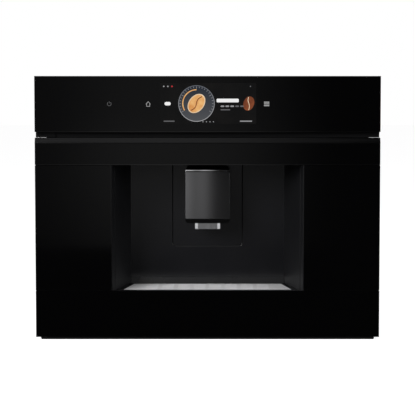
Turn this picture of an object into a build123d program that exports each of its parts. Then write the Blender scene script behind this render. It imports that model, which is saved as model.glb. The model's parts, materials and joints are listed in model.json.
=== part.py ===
from build123d import *
import os

# Built-in coffee machine: a glass front on a left-hinged door, a cup niche with a
# height-adjustable outlet, and the containers and works behind the door.
# Frame: X to the right, Y to the back, Z up, millimetres, as seen from the front.
# The origin is on the resting plane, midway between the sides and between the
# front face of the door and the rear stand-offs.

os.makedirs("parts", exist_ok=True)

# ------------------------------------------------------------------ driving sizes
overall_width = 594.0
overall_height = 455.0
overall_depth = 385.0
half_width = overall_width / 2
front_y = -overall_depth / 2
rear_y = overall_depth / 2

# Heights of the front, from the resting plane up
door_bottom = 4.0
lower_seam = 85.0
upper_seam = 302.1
bevel_bottom = 339.0
door_top = 349.0
panel_bottom = 359.1

# Thicknesses
sheet = 1.2
glass = 5.0
glass_chamfer = 0.5
seam_gap = 1.0
wall = 2.5
fit_gap = 0.4
niche_clearance = 0.2
overcut = 1.0

# Casing
body_half_width = 279.0
inner_half_width = body_half_width - sheet
body_top = 449.0
stand_off = 5.0
body_rear_y = rear_y - stand_off
foot_height = 2.0
floor_z = foot_height + sheet

# Depths behind the front face of the door
door_depth = 21.5
chassis_depth = 24.0
frame_sheet = 2.0
panel_glass_depth = 0.4

# Cup niche: its side walls slant inwards towards the back
niche_front_half = 165.9
niche_slant = 0.2185
niche_depth = 130.0
niche_floor_top = 82.0
niche_ceiling_z = 345.0

# Drip tray and its grille, a trapezoid that follows the niche
tray_lip_depth = 24.4
tray_front_depth = 31.0
grille_front_depth = 35.9
grille_rear_depth = 117.5
grille_front_half = 146.8
grille_rear_half = 131.4
grille_sheet = 1.4
grille_height = 3.0
tray_top = niche_floor_top - grille_height

# Outlet head at rest
head_front_depth = 65.6
head_half_width = 38.9
head_rear_half = 34.2
head_bottom = 195.5
head_top = 289.7
head_rear_top = 294.4
plate_bottom = 203.7
plate_top = 286.2
spout_bottom = 184.3
travel_down = 35.0
travel_up = 50.0

# Door hinge axis
hinge_x = -289.5
hinge_depth = 9.5
pin_radius = 2.0
bush_radius = 3.2
running_gap = 0.05


def depth(distance):
    """The Y of a plane this far behind the front face of the door."""
    return front_y + distance


def facing(distance):
    """A plane that faces the viewer, with local axes X and Z."""
    return Plane(origin=(0, depth(distance), 0), x_dir=(1, 0, 0), z_dir=(0, -1, 0))


def block(x_range, y_range, z_range, mode=Mode.ADD):
    """A rectangular block between two values on each axis."""
    ranges = (x_range, y_range, z_range)
    with Locations(tuple((low + high) / 2 for low, high in ranges)):
        Box(*(abs(high - low) for low, high in ranges), mode=mode)


def post(radius, centre, z_range, mode=Mode.ADD):
    """A vertical cylinder at (x, y) between two heights."""
    with Locations((*centre, sum(z_range) / 2)):
        Cylinder(radius, z_range[1] - z_range[0], mode=mode)


def bar_along_y(radius, centre, y_range, mode=Mode.ADD):
    """A cylinder along Y at (x, z) between two values of Y."""
    with Locations((centre[0], sum(y_range) / 2, centre[1])):
        Cylinder(radius, y_range[1] - y_range[0], rotation=(90, 0, 0), mode=mode)


def niche_half(distance):
    """Half the clear width of the niche at this depth."""
    return niche_front_half - niche_slant * distance


def grille_half(distance):
    """Half the width of the drip grille at this depth."""
    share = (distance - grille_front_depth) / (grille_rear_depth - grille_front_depth)
    return grille_front_half + share * (grille_rear_half - grille_front_half)


def trapezoid(near, far, near_half, far_half):
    """Plan outline between two depths, symmetric about the middle of the machine."""
    return [
        (-near_half, depth(near)),
        (near_half, depth(near)),
        (far_half, depth(far)),
        (-far_half, depth(far)),
    ]


# ------------------------------------------------------------------------- casing
foot_radius = 12.0
foot_places = [(x, y) for x in (-235, 235) for y in (-140, 150)]

with BuildPart() as base_plate:
    block(
        (-inner_half_width, inner_half_width),
        (depth(chassis_depth), body_rear_y),
        (foot_height, floor_z),
    )
    for place in foot_places:
        post(foot_radius, place, (0, foot_height))
base_plate.part.label = "base_plate"
export_step(base_plate.part, "parts/base_plate.step")

strip_half_width = 288.6
strip_depth = 1.5
strip_height = 3.4
strip_lead = 1.0

with BuildPart() as base_strip:
    with BuildSketch(facing(strip_depth)):
        Polygon(
            (-strip_half_width, strip_height),
            (strip_half_width, strip_height),
            (strip_half_width - strip_lead, 0),
            (-strip_half_width + strip_lead, 0),
            align=None,
        )
    extrude(amount=-(chassis_depth - strip_depth))
base_strip.part.label = "base_strip"
export_step(base_strip.part, "parts/base_strip.step")

louvre_width = 4.0
louvre_pitch = 12.0
side_louvre_length = 46.0
side_louvre_count = 9
side_louvre_y = 110.0
side_louvre_heights = (60.0, 395.0)
fixing_hole_radius = 2.5
fixing_y = -150.0
fixing_heights = (60.0, 390.0)


def side_panel(side):
    """A steel side with two rows of air slots and two cabinet screw holes in front."""
    inner, outer = sorted((side * inner_half_width, side * body_half_width))
    with BuildPart() as panel:
        block((inner, outer), (depth(chassis_depth), body_rear_y), (foot_height, body_top))
        with BuildSketch(Plane.YZ.offset(inner)):
            with Locations(*[(side_louvre_y, z) for z in side_louvre_heights]):
                with GridLocations(louvre_pitch, 0, side_louvre_count, 1):
                    SlotOverall(side_louvre_length, louvre_width, rotation=90)
            with Locations(*[(fixing_y, z) for z in fixing_heights]):
                Circle(fixing_hole_radius)
        extrude(amount=sheet, mode=Mode.SUBTRACT)
    return panel


left_side_panel = side_panel(-1)
left_side_panel.part.label = "left_side_panel"
export_step(left_side_panel.part, "parts/left_side_panel.step")

right_side_panel = side_panel(1)
right_side_panel.part.label = "right_side_panel"
export_step(right_side_panel.part, "parts/right_side_panel.step")

top_louvre_length = 60.0
top_louvre_y = 120.0
top_louvre_pitch = 14.0
top_louvre_count = 29

with BuildPart() as top_cover:
    block(
        (-inner_half_width, inner_half_width),
        (depth(chassis_depth), body_rear_y),
        (body_top - sheet, body_top),
    )
    with BuildSketch(Plane.XY.offset(body_top - sheet)):
        with Locations((0, top_louvre_y)):
            with GridLocations(top_louvre_pitch, 0, top_louvre_count, 1):
                SlotOverall(top_louvre_length, louvre_width, rotation=90)
    extrude(amount=sheet, mode=Mode.SUBTRACT)
top_cover.part.label = "top_cover"
export_step(top_cover.part, "parts/top_cover.step")

# The rear panel carries the fan, the mains inlet and four pressed stand-offs
fan_x, fan_z = 150.0, 380.0
fan_bore_radius = 43.0
fan_slot_pitch = 9.0
fan_slot_width = 5.0
fan_slots_each_side = 4
rear_louvre_length = 44.0
rear_louvre_z = 400.0
rear_louvre_count = 12
inlet_x, inlet_z = -140.0, 45.0
inlet_width, inlet_height = 27.4, 20.0
boss_radius = 14.0
boss_places = [(x, z) for x in (-200, 200) for z in (130, 300)]
screw_radius = 1.7
screw_places = [(x, z) for x in (-268, 0, 268) for z in (16, 434)]

with BuildPart() as rear_panel:
    block(
        (-inner_half_width, inner_half_width),
        (body_rear_y - sheet, body_rear_y),
        (floor_z, body_top - sheet),
    )
    for place in boss_places:
        bar_along_y(boss_radius, place, (body_rear_y, rear_y))
    with BuildSketch(Plane.XZ.offset(-body_rear_y)):
        for step in range(-fan_slots_each_side, fan_slots_each_side + 1):
            chord = 2 * (fan_bore_radius**2 - (step * fan_slot_pitch) ** 2) ** 0.5
            with Locations((fan_x + step * fan_slot_pitch, fan_z)):
                SlotOverall(chord - fan_slot_width, fan_slot_width, rotation=90)
        with Locations((inlet_x, inlet_z)):
            Rectangle(inlet_width, inlet_height)
        with Locations(*screw_places):
            Circle(screw_radius)
        with Locations((0, rear_louvre_z)):
            with GridLocations(louvre_pitch, 0, rear_louvre_count, 1):
                SlotOverall(rear_louvre_length, louvre_width, rotation=90)
    extrude(amount=sheet, mode=Mode.SUBTRACT)
rear_panel.part.label = "rear_panel"
export_step(rear_panel.part, "parts/rear_panel.step")

screw_head_radius = 3.4
screw_head_height = 1.8
screw_length = 9.0
cross_length, cross_width = 3.6, 0.9

with BuildPart() as panel_screws:
    for place in screw_places:
        bar_along_y(
            screw_head_radius, place, (body_rear_y, body_rear_y + screw_head_height)
        )
        bar_along_y(screw_radius, place, (body_rear_y - screw_length, body_rear_y))
        recess_floor = body_rear_y + screw_head_height / 3
        with Locations((place[0], recess_floor + screw_head_height / 2, place[1])):
            Box(cross_length, screw_head_height, cross_width, mode=Mode.SUBTRACT)
            Box(cross_width, screw_head_height, cross_length, mode=Mode.SUBTRACT)
panel_screws.part.label = "panel_screws"
export_step(panel_screws.part, "parts/panel_screws.step")

# The front frame is a sheet with windows for the two container bays and for the niche
# with the drip tray below it
frame_back = chassis_depth + frame_sheet
bay_inner_x, bay_outer_x = 172.0, 272.0
bay_bottom, bay_top = 88.0, 345.0
tray_window_half = 150.0
tray_window_bottom = 7.0

with BuildPart() as front_frame:
    block(
        (-inner_half_width, inner_half_width),
        (depth(chassis_depth), depth(frame_back)),
        (floor_z, body_top - sheet),
    )
    window_half = niche_half(chassis_depth) + wall + niche_clearance
    frame_y = (depth(chassis_depth), depth(frame_back))
    niche_window_z = (niche_floor_top, niche_ceiling_z + wall)
    block((-window_half, window_half), frame_y, niche_window_z, Mode.SUBTRACT)
    tray_window_z = (tray_window_bottom, niche_floor_top + overcut)
    block((-tray_window_half, tray_window_half), frame_y, tray_window_z, Mode.SUBTRACT)
    for side in (-1, 1):
        bay_x = sorted((side * bay_inner_x, side * bay_outer_x))
        block(bay_x, frame_y, (bay_bottom, bay_top), Mode.SUBTRACT)
front_frame.part.label = "front_frame"
export_step(front_frame.part, "parts/front_frame.step")

# ------------------------------------------------------------------ control panel
display_x, display_z = 1.1, 407.3
module_width, module_height, module_thick = 172.0, 78.0, 6.0
module_post_inset, module_post_radius = 6.0, 4.0
carrier_half_width = 294.5
carrier_bottom, carrier_top = 361.2, 452.5
carrier_depth = panel_glass_depth + glass
carrier_cavity_half = body_half_width - 3 * wall

with BuildPart() as control_panel_glass:
    block(
        (-half_width, half_width),
        (depth(panel_glass_depth), depth(carrier_depth)),
        (panel_bottom, overall_height),
    )
    front_edges = control_panel_glass.faces().sort_by(Axis.Y)[0].edges()
    chamfer(front_edges, glass_chamfer)
control_panel_glass.part.label = "control_panel_glass"
export_step(control_panel_glass.part, "parts/control_panel_glass.step")

with BuildPart() as control_panel_carrier:
    block(
        (-carrier_half_width, carrier_half_width),
        (depth(carrier_depth), depth(chassis_depth)),
        (carrier_bottom, carrier_top),
    )
    block(
        (-carrier_cavity_half, carrier_cavity_half),
        (depth(carrier_depth + wall), depth(chassis_depth)),
        (carrier_bottom + wall, carrier_top - wall),
        Mode.SUBTRACT,
    )
    with BuildSketch(facing(carrier_depth)):
        with Locations((display_x, display_z)):
            Rectangle(module_width + fit_gap, module_height + fit_gap)
    extrude(amount=-wall, mode=Mode.SUBTRACT)
control_panel_carrier.part.label = "control_panel_carrier"
export_step(control_panel_carrier.part, "parts/control_panel_carrier.step")

with BuildPart() as display_module:
    with BuildSketch(facing(carrier_depth)):
        with Locations((display_x, display_z)):
            Rectangle(module_width, module_height)
    extrude(amount=-module_thick)
    with BuildSketch(facing(carrier_depth + module_thick)):
        with Locations((display_x, display_z)):
            with GridLocations(
                module_width - 2 * module_post_inset,
                module_height - 2 * module_post_inset,
                2,
                2,
            ):
                Circle(module_post_radius)
    extrude(amount=-(chassis_depth - carrier_depth - module_thick))
display_module.part.label = "display_module"
export_step(display_module.part, "parts/display_module.step")

# The grip recess between the control panel and the door: a flange under the panel
# and a wall behind the fingers
recess_half_width = 296.1
recess_bottom = door_top + 0.3
recess_wall_depth = 13.6
recess_wall = 2.0

with BuildPart() as grip_recess_profile:
    block(
        (-recess_half_width, recess_half_width),
        (depth(carrier_depth), depth(chassis_depth)),
        (carrier_bottom - recess_wall, carrier_bottom),
    )
    block(
        (-recess_half_width, recess_half_width),
        (depth(recess_wall_depth), depth(recess_wall_depth + recess_wall)),
        (recess_bottom, carrier_bottom),
    )
grip_recess_profile.part.label = "grip_recess_profile"
export_step(grip_recess_profile.part, "parts/grip_recess_profile.step")

# -------------------------------------------------------------------------- niche
niche_front = chassis_depth + niche_clearance
bay_floor_z = (86.0, 88.0)
bay_shelf_z = (255.0, 257.0)
bay_rear_y = 2.0
shelf_rear_y = 85.0
niche_floor_bottom = niche_floor_top - wall
grinder_centre = (226.0, 42.0)
bean_outlet_radius = 14.0
outer_wall_x = niche_half(niche_depth) + wall
back_wall_rear = niche_depth + wall


def niche_wall(side):
    """A slanted side wall of the niche with the floor and shelf of the bay beside it."""

    def mirrored(*points):
        return [(side * x, y) for x, y in points]

    near, far = niche_half(niche_front), niche_half(niche_depth)
    frame_rear_half = niche_half(frame_back) + wall
    with BuildPart() as moulding:
        with BuildSketch(Plane.XY.offset(niche_floor_top)):
            Polygon(
                *mirrored(
                    (near, depth(niche_front)),
                    (near + wall, depth(niche_front)),
                    (far + wall, depth(niche_depth)),
                    (far, depth(niche_depth)),
                ),
                align=None,
            )
        extrude(amount=niche_ceiling_z - niche_floor_top)
        for (low, high), rear in ((bay_floor_z, bay_rear_y), (bay_shelf_z, shelf_rear_y)):
            with BuildSketch(Plane.XY.offset(low)):
                Polygon(
                    *mirrored(
                        (frame_rear_half, depth(frame_back)),
                        (inner_half_width, depth(frame_back)),
                        (inner_half_width, rear),
                        (outer_wall_x, rear),
                        (outer_wall_x, depth(niche_depth)),
                    ),
                    align=None,
                )
            extrude(amount=high - low)
        # The shelf of the right bay lets the beans through to the grinder
        if side > 0:
            post(bean_outlet_radius, grinder_centre, bay_shelf_z, Mode.SUBTRACT)
    return moulding


niche_left_wall = niche_wall(-1)
niche_left_wall.part.label = "niche_left_wall"
export_step(niche_left_wall.part, "parts/niche_left_wall.step")

niche_right_wall = niche_wall(1)
niche_right_wall.part.label = "niche_right_wall"
export_step(niche_right_wall.part, "parts/niche_right_wall.step")

with BuildPart() as niche_ceiling:
    with BuildSketch(Plane.XY.offset(niche_ceiling_z)):
        near, far = niche_half(niche_front) + wall, outer_wall_x
        Polygon(*trapezoid(niche_front, niche_depth, near, far), align=None)
    extrude(amount=wall)
niche_ceiling.part.label = "niche_ceiling"
export_step(niche_ceiling.part, "parts/niche_ceiling.step")

cove_depth, cove_height = 3.5, 11.4
cove_half = niche_half(niche_depth) - niche_clearance

with BuildPart() as niche_floor:
    with BuildSketch(Plane.XY.offset(niche_floor_bottom)):
        near, far = niche_half(frame_back) + wall, outer_wall_x
        Polygon(*trapezoid(frame_back, niche_depth, near, far), align=None)
        near, far = grille_half(0) + fit_gap, grille_half(grille_rear_depth) + fit_gap
        Polygon(
            *trapezoid(0, grille_rear_depth + fit_gap, near, far),
            align=None,
            mode=Mode.SUBTRACT,
        )
    extrude(amount=wall)
    # Cove along the foot of the back wall
    with BuildSketch(Plane.YZ):
        Polygon(
            (depth(niche_depth - cove_depth), niche_floor_top),
            (depth(niche_depth), niche_floor_top),
            (depth(niche_depth), niche_floor_top + cove_height),
            align=None,
        )
    extrude(amount=cove_half, both=True)
niche_floor.part.label = "niche_floor"
export_step(niche_floor.part, "parts/niche_floor.step")

# The back wall has a rounded window, open at the top, for the panel that the
# outlet slides on
window_half_width = 63.1
window_bottom = 148.0
window_corner = 8.6
window_height = 230.0
groove = 1.5
slot_half_width = 9.5
slot_z = (188.0, 307.0)
rod_x = 30.0
rod_radius = 3.0
rod_depth = 143.0
rod_z = (158.0, 342.0)
holder_height = 8.0
slide_panel_rear = back_wall_rear + 2.0
slide_panel_recess = 1.2
slide_panel_margin = 6.0
holder_half_width = 7.0
holder_overhang = 6.0

with BuildPart() as niche_back_wall:
    block(
        (-outer_wall_x, outer_wall_x),
        (depth(niche_depth), depth(back_wall_rear)),
        (niche_floor_bottom, niche_ceiling_z + wall),
    )
    with BuildSketch(facing(niche_depth)):
        with Locations((0, window_bottom + window_height / 2)):
            RectangleRounded(2 * window_half_width, window_height, window_corner)
    extrude(amount=-wall, mode=Mode.SUBTRACT)
niche_back_wall.part.label = "niche_back_wall"
export_step(niche_back_wall.part, "parts/niche_back_wall.step")

with BuildPart() as outlet_slide_panel:
    panel_half = window_half_width + slide_panel_margin
    block(
        (-panel_half, panel_half),
        (depth(back_wall_rear), depth(slide_panel_rear)),
        (window_bottom - slide_panel_margin, niche_ceiling_z),
    )
    with BuildSketch(facing(niche_depth + slide_panel_recess)):
        with Locations((0, window_bottom + groove + window_height / 2)):
            RectangleRounded(
                2 * (window_half_width - groove), window_height, window_corner - groove
            )
        with Locations((0, niche_ceiling_z + window_height / 2)):
            Rectangle(4 * window_half_width, window_height, mode=Mode.SUBTRACT)
    extrude(amount=-(wall - slide_panel_recess))
    for x in (-rod_x, rod_x):
        for low in (rod_z[0], rod_z[1] - holder_height):
            block(
                (x - holder_half_width, x + holder_half_width),
                (depth(slide_panel_rear), depth(rod_depth + holder_overhang)),
                (low, low + holder_height),
            )
        post(rod_radius, (x, depth(rod_depth)), rod_z, Mode.SUBTRACT)
    block(
        (-slot_half_width, slot_half_width),
        (depth(niche_depth), depth(slide_panel_rear)),
        slot_z,
        Mode.SUBTRACT,
    )
outlet_slide_panel.part.label = "outlet_slide_panel"
export_step(outlet_slide_panel.part, "parts/outlet_slide_panel.step")

with BuildPart() as guide_rods:
    for x in (-rod_x, rod_x):
        post(rod_radius, (x, depth(rod_depth)), rod_z)
guide_rods.part.label = "guide_rods"
export_step(guide_rods.part, "parts/guide_rods.step")

# --------------------------------------------------------- drip tray and its grille
tray_bottom = 9.0
tray_wall = 3.0
runner_x, runner_half_width = 90.0, 4.0

with BuildPart() as drip_tray:
    with BuildSketch(Plane.XY.offset(tray_bottom)):
        near, far = tray_front_depth, grille_rear_depth
        Polygon(*trapezoid(near, far, grille_half(near), grille_rear_half), align=None)
    extrude(amount=tray_top - tray_bottom)
    with BuildSketch(Plane.XY.offset(tray_bottom + tray_wall)):
        near, far = grille_front_depth + tray_wall, grille_rear_depth - tray_wall
        near_half = grille_half(near) - tray_wall
        far_half = grille_half(far) - tray_wall
        Polygon(*trapezoid(near, far, near_half, far_half), align=None)
    extrude(amount=tray_top - tray_bottom, mode=Mode.SUBTRACT)
    # A lip in front, flush with the grille
    with BuildSketch(Plane.XY.offset(tray_top)):
        near, far = tray_lip_depth, grille_front_depth - fit_gap
        Polygon(*trapezoid(near, far, grille_half(near), grille_half(far)), align=None)
    extrude(amount=grille_height)
    for x in (-runner_x, runner_x):
        block(
            (x - runner_half_width, x + runner_half_width),
            (depth(tray_front_depth), depth(grille_rear_depth)),
            (floor_z, tray_bottom),
        )
drip_tray.part.label = "drip_tray"
export_step(drip_tray.part, "parts/drip_tray.step")

drain_slot_length = 22.0
drain_slot_width = 2.6
drain_pitch_x, drain_pitch_y = 28.0, 13.0
drain_columns, drain_rows = 8, 6
grille_rim = 2.0

with BuildPart() as drip_grille:
    with BuildSketch(Plane.XY.offset(tray_top)):
        near, far = grille_front_depth, grille_rear_depth
        Polygon(*trapezoid(near, far, grille_front_half, grille_rear_half), align=None)
    extrude(amount=niche_floor_top - tray_top)
    with BuildSketch(Plane.XY.offset(tray_top)):
        near, far = grille_front_depth + grille_rim, grille_rear_depth - grille_rim
        near_half = grille_half(near) - grille_rim
        far_half = grille_half(far) - grille_rim
        Polygon(*trapezoid(near, far, near_half, far_half), align=None)
    extrude(amount=niche_floor_top - tray_top - grille_sheet, mode=Mode.SUBTRACT)
    with BuildSketch(Plane.XY.offset(tray_top)):
        with Locations((0, depth((grille_front_depth + grille_rear_depth) / 2))):
            with GridLocations(drain_pitch_x, drain_pitch_y, drain_columns, drain_rows):
                SlotOverall(drain_slot_length, drain_slot_width)
    extrude(amount=niche_floor_top - tray_top, mode=Mode.SUBTRACT)
drip_grille.part.label = "drip_grille"
export_step(drip_grille.part, "parts/drip_grille.step")

# ------------------------------------------------------- containers behind the door
container_gap = 4.0
container_front_y = depth(frame_back + container_gap)
container_wall = 2.0
container_corner = 8.0
lid_height = 6.0
lid_plug = 3.0
lid_edge_radius = 1.2
tank_x = (176.0, 270.0)
tank_y = (container_front_y, -2.0)
tank_z = (bay_floor_z[1], 244.0)
milk_x = (-270.0, -176.0)
milk_z = (bay_floor_z[1], 226.0)
bean_y = (container_front_y, 82.0)
bean_z = (bay_shelf_z[1], 334.0)
grounds_x, grounds_y = (-62.0, 42.0), (-36.0, 62.0)
grounds_z = (floor_z, 110.0)


def open_box(x_range, y_range, z_range):
    """A container with rounded upright corners, open at the top."""
    width, length = x_range[1] - x_range[0], y_range[1] - y_range[0]
    centre = (sum(x_range) / 2, sum(y_range) / 2)
    with BuildPart() as container:
        with BuildSketch(Plane.XY.offset(z_range[0])):
            with Locations(centre):
                RectangleRounded(width, length, container_corner)
        extrude(amount=z_range[1] - z_range[0])
        with BuildSketch(Plane.XY.offset(z_range[0] + container_wall)):
            with Locations(centre):
                RectangleRounded(
                    width - 2 * container_wall,
                    length - 2 * container_wall,
                    container_corner - container_wall,
                )
        extrude(amount=z_range[1] - z_range[0], mode=Mode.SUBTRACT)
    return container


def flat_lid(x_range, y_range, z_low):
    """A lid that sits on a container's rim and plugs into its mouth."""
    width, length = x_range[1] - x_range[0], y_range[1] - y_range[0]
    centre = (sum(x_range) / 2, sum(y_range) / 2)
    plug = container_wall + fit_gap
    with BuildPart() as lid:
        with BuildSketch(Plane.XY.offset(z_low)):
            with Locations(centre):
                RectangleRounded(width, length, container_corner)
        extrude(amount=lid_height)
        with BuildSketch(Plane.XY.offset(z_low)):
            with Locations(centre):
                RectangleRounded(
                    width - 2 * plug, length - 2 * plug, container_corner - plug
                )
        extrude(amount=-lid_plug)
        top_face = lid.faces().sort_by(Axis.Z)[-1]
        fillet(top_face.edges(), lid_edge_radius)
    return lid


water_tank = open_box(tank_x, tank_y, tank_z)
water_tank.part.label = "water_tank"
export_step(water_tank.part, "parts/water_tank.step")

water_tank_lid = flat_lid(tank_x, tank_y, tank_z[1])
water_tank_lid.part.label = "water_tank_lid"
export_step(water_tank_lid.part, "parts/water_tank_lid.step")

milk_container = open_box(milk_x, tank_y, milk_z)
milk_container.part.label = "milk_container"
export_step(milk_container.part, "parts/milk_container.step")

milk_container_lid = flat_lid(milk_x, tank_y, milk_z[1])
milk_container_lid.part.label = "milk_container_lid"
export_step(milk_container_lid.part, "parts/milk_container_lid.step")

# The bean container drops its beans through a round outlet over the grinder
bean_container = open_box(tank_x, bean_y, bean_z)
with bean_container:
    bean_floor_z = (bean_z[0], bean_z[0] + container_wall)
    post(bean_outlet_radius, grinder_centre, bean_floor_z, Mode.SUBTRACT)
bean_container.part.label = "bean_container"
export_step(bean_container.part, "parts/bean_container.step")

bean_container_lid = flat_lid(tank_x, bean_y, bean_z[1])
bean_container_lid.part.label = "bean_container_lid"
export_step(bean_container_lid.part, "parts/bean_container_lid.step")

grounds_container = open_box(grounds_x, grounds_y, grounds_z)
grounds_container.part.label = "grounds_container"
export_step(grounds_container.part, "parts/grounds_container.step")

# ------------------------------------------------------------------------ grinder
grinder_radius = 38.0
grinder_z = (190.0, 249.0)
chamber_radius = 30.0
chamber_z = (200.0, 243.0)
motor_z = (floor_z, 184.0)
burr_gap = 0.8
burr_z = (204.0, 232.0)
burr_base_radius, burr_tip_radius = 25.0, 11.0
shaft_radius = 4.0
shaft_below_housing = 5.0
shaft_end = grinder_z[0] - shaft_below_housing
chute_x, chute_y, chute_z = (150.0, 196.0), (32.0, 52.0), (200.0, 216.0)
chute_wall = 3.0
burr_flutes, flute_radius = 16, 1.2
upper_burr_bottom = 218.0

with BuildPart() as grinder_housing:
    post(grinder_radius, grinder_centre, grinder_z)
    post(chamber_radius, grinder_centre, chamber_z, Mode.SUBTRACT)
    post(bean_outlet_radius, grinder_centre, (chamber_z[1], grinder_z[1]), Mode.SUBTRACT)
    post(
        shaft_radius + running_gap,
        grinder_centre,
        (grinder_z[0], chamber_z[0]),
        Mode.SUBTRACT,
    )
    # Outlet chute for the ground coffee, towards the brew unit
    block(chute_x, chute_y, chute_z)
    block(
        (chute_x[0] - chute_wall, chute_x[1] + chute_wall),
        (chute_y[0] + chute_wall, chute_y[1] - chute_wall),
        (chute_z[0] + chute_wall, chute_z[1] - chute_wall),
        Mode.SUBTRACT,
    )
grinder_housing.part.label = "grinder_housing"
export_step(grinder_housing.part, "parts/grinder_housing.step")

with BuildPart() as lower_burr:
    with Locations((*grinder_centre, sum(burr_z) / 2)):
        Cone(burr_base_radius, burr_tip_radius, burr_z[1] - burr_z[0])
    with BuildSketch(Plane.XY.offset(burr_z[0])):
        with Locations(grinder_centre):
            with PolarLocations(burr_base_radius, burr_flutes):
                Circle(flute_radius)
    extrude(amount=burr_z[1] - burr_z[0], mode=Mode.SUBTRACT)
    post(shaft_radius, grinder_centre, (shaft_end, burr_z[0]))
lower_burr.part.label = "lower_burr"
export_step(lower_burr.part, "parts/lower_burr.step")

with BuildPart() as upper_burr:
    post(chamber_radius, grinder_centre, (upper_burr_bottom, chamber_z[1]))
    with Locations((*grinder_centre, sum(burr_z) / 2)):
        Cone(
            burr_base_radius + burr_gap,
            burr_tip_radius + burr_gap,
            burr_z[1] - burr_z[0],
            mode=Mode.SUBTRACT,
        )
    inlet_bore_z = (burr_z[1] - overcut, chamber_z[1])
    post(bean_outlet_radius, grinder_centre, inlet_bore_z, Mode.SUBTRACT)
upper_burr.part.label = "upper_burr"
export_step(upper_burr.part, "parts/upper_burr.step")

motor_radius, motor_base_radius, motor_base_top = 34.0, 29.0, 20.0
collar_bore_radius = 26.0
lug_half_span, lug_half_depth, lug_height = 36.0, 6.0, 4.0
lug_first_z, lug_pitch, lug_pairs = 30.0, 34.0, 4

with BuildPart() as grinder_motor:
    post(motor_radius, grinder_centre, (motor_base_top, grinder_z[0]))
    post(motor_base_radius, grinder_centre, (motor_z[0], motor_base_top))
    collar_z = (motor_z[1], grinder_z[0])
    post(collar_bore_radius, grinder_centre, collar_z, Mode.SUBTRACT)
    for pair in range(lug_pairs):
        lug_z = lug_first_z + pair * lug_pitch
        block(
            (grinder_centre[0] - lug_half_span, grinder_centre[0] + lug_half_span),
            (grinder_centre[1] - lug_half_depth, grinder_centre[1] + lug_half_depth),
            (lug_z, lug_z + lug_height),
        )
grinder_motor.part.label = "grinder_motor"
export_step(grinder_motor.part, "parts/grinder_motor.step")

# ---------------------------------------------------------------------- brew unit
brew_centre = (-10.0, 14.0)
brew_x, brew_y = (-70.0, 50.0), (-36.0, 64.0)
cheek = 4.0
cylinder_radius, bore_radius = 30.0, 23.0
cylinder_z = (150.0, 232.0)
cylinder_floor = (145.0, 150.0)
bridge_z = (286.0, 292.0)
piston_head_z = (205.0, 221.0)
piston_rod_radius = 5.0
piston_rod_top = 331.0
piston_cap_radius, piston_cap_height = 9.0, 5.0
seal_z = (210.0, 214.0)
seal_depth = 2.0
drain_radius = 2.0

with BuildPart() as brew_unit_housing:
    block(brew_x, brew_y, cylinder_floor)
    block(brew_x, brew_y, bridge_z)
    for low, high in ((brew_x[0], brew_x[0] + cheek), (brew_x[1] - cheek, brew_x[1])):
        block((low, high), brew_y, (floor_z, bridge_z[1]))
    post(cylinder_radius, brew_centre, cylinder_z)
    post(bore_radius, brew_centre, cylinder_z, Mode.SUBTRACT)
    post(drain_radius, brew_centre, cylinder_floor, Mode.SUBTRACT)
    post(piston_rod_radius + running_gap, brew_centre, bridge_z, Mode.SUBTRACT)
brew_unit_housing.part.label = "brew_unit_housing"
export_step(brew_unit_housing.part, "parts/brew_unit_housing.step")

with BuildPart() as brew_piston:
    post(bore_radius - running_gap, brew_centre, piston_head_z)
    post(piston_rod_radius, brew_centre, (piston_head_z[1], piston_rod_top))
    cap_z = (piston_rod_top - piston_cap_height, piston_rod_top)
    post(piston_cap_radius, brew_centre, cap_z)
    with BuildSketch(Plane.XY.offset(seal_z[0])):
        with Locations(brew_centre):
            Circle(bore_radius)
            Circle(bore_radius - seal_depth, mode=Mode.SUBTRACT)
    extrude(amount=seal_z[1] - seal_z[0], mode=Mode.SUBTRACT)
brew_piston.part.label = "brew_piston"
export_step(brew_piston.part, "parts/brew_piston.step")

gearbox_x, gearbox_y, gearbox_z = (-36.0, 16.0), (brew_y[1], 104.0), (262.0, bridge_z[1])
gearbox_corner = 5.0
drive_centre = (-10.0, 84.0)
drive_radius, drive_end_radius = 17.0, 5.0
drive_z, drive_end_z = (196.0, 262.0), (188.0, 196.0)

with BuildPart() as brew_drive_motor:
    block(gearbox_x, gearbox_y, gearbox_z)
    post(drive_radius, drive_centre, drive_z)
    post(drive_end_radius, drive_centre, drive_end_z)
    vertical = brew_drive_motor.edges().filter_by(Axis.Z).group_by(Axis.Y)[-1]
    fillet(vertical, gearbox_corner)
brew_drive_motor.part.label = "brew_drive_motor"
export_step(brew_drive_motor.part, "parts/brew_drive_motor.step")

# -------------------------------------------------------------- water and heating
pump_x, pump_z = -220.0, 38.0
pump_y = (82.0, 150.0)
coil_radius, neck_radius, port_radius = 18.0, 11.0, 4.0
neck_length, port_length, rear_port_length = 14.0, 12.0, 8.0
neck_y = (pump_y[0] - neck_length, pump_y[0])
front_port_y = (neck_y[0] - port_length, neck_y[0])
rear_port_y = (pump_y[1], pump_y[1] + rear_port_length)
pump_foot_half, pump_foot_y, pump_foot_height = 24.0, (94.0, 138.0), 3.0
cradle_half, cradle_places, cradle_thick = 14.0, (100.0, 126.0), 5.0
heater_x, heater_y, heater_z = (-66.0, 46.0), (118.0, 162.0), (120.0, 210.0)

with BuildPart() as pump:
    bar_along_y(coil_radius, (pump_x, pump_z), pump_y)
    bar_along_y(neck_radius, (pump_x, pump_z), neck_y)
    bar_along_y(port_radius, (pump_x, pump_z), front_port_y)
    bar_along_y(port_radius, (pump_x, pump_z), rear_port_y)
    pump_foot_z = (floor_z, floor_z + pump_foot_height)
    block((pump_x - pump_foot_half, pump_x + pump_foot_half), pump_foot_y, pump_foot_z)
    for y in cradle_places:
        block(
            (pump_x - cradle_half, pump_x + cradle_half),
            (y, y + cradle_thick),
            (pump_foot_z[1], pump_z),
        )
pump.part.label = "pump"
export_step(pump.part, "parts/pump.step")

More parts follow.
